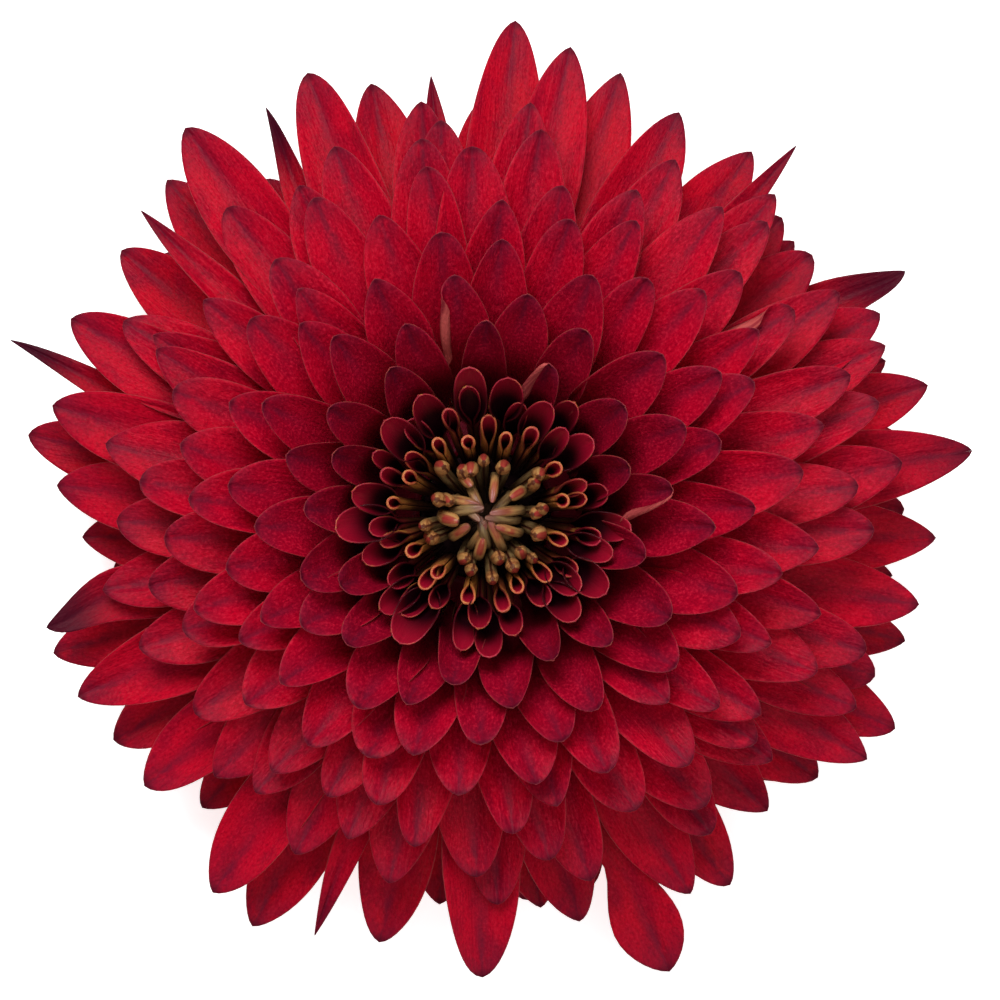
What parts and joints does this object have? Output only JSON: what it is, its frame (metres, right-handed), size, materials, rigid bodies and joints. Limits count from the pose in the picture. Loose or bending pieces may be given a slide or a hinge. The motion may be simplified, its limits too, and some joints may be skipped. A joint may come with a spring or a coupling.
{
  "type": "cremon chrysanthemum",
  "caption": "Large double chrysanthemum bloom with broad overlapping pointed petals, a ring of small spoon-tipped quills and a closed eye, cut just under its head.",
  "frame": {"origin": "middle of the bloom's outline, on the surface that it rests on", "axes": "+Z out of the bloom's face, up from the surface; +X and +Y to the right and to the top of the picture"},
  "size_m": [0.1097, 0.1095, 0.04],
  "materials": {
    "green_growth": "matt green, faintly downy",
    "red_petals": "soft matt crimson with a velvety sheen, paler on the back",
    "spoon_quills": "satin, maroon inside with golden rims",
    "olive_quills": "satin olive gold with reddish tips"
  },
  "bodies": {
    "root": {"stem_involucre": "green_growth", "ray_florets": "red_petals", "quilled_florets": "spoon_quills", "disc_florets": "olive_quills"}
  },
  "joints": []
}
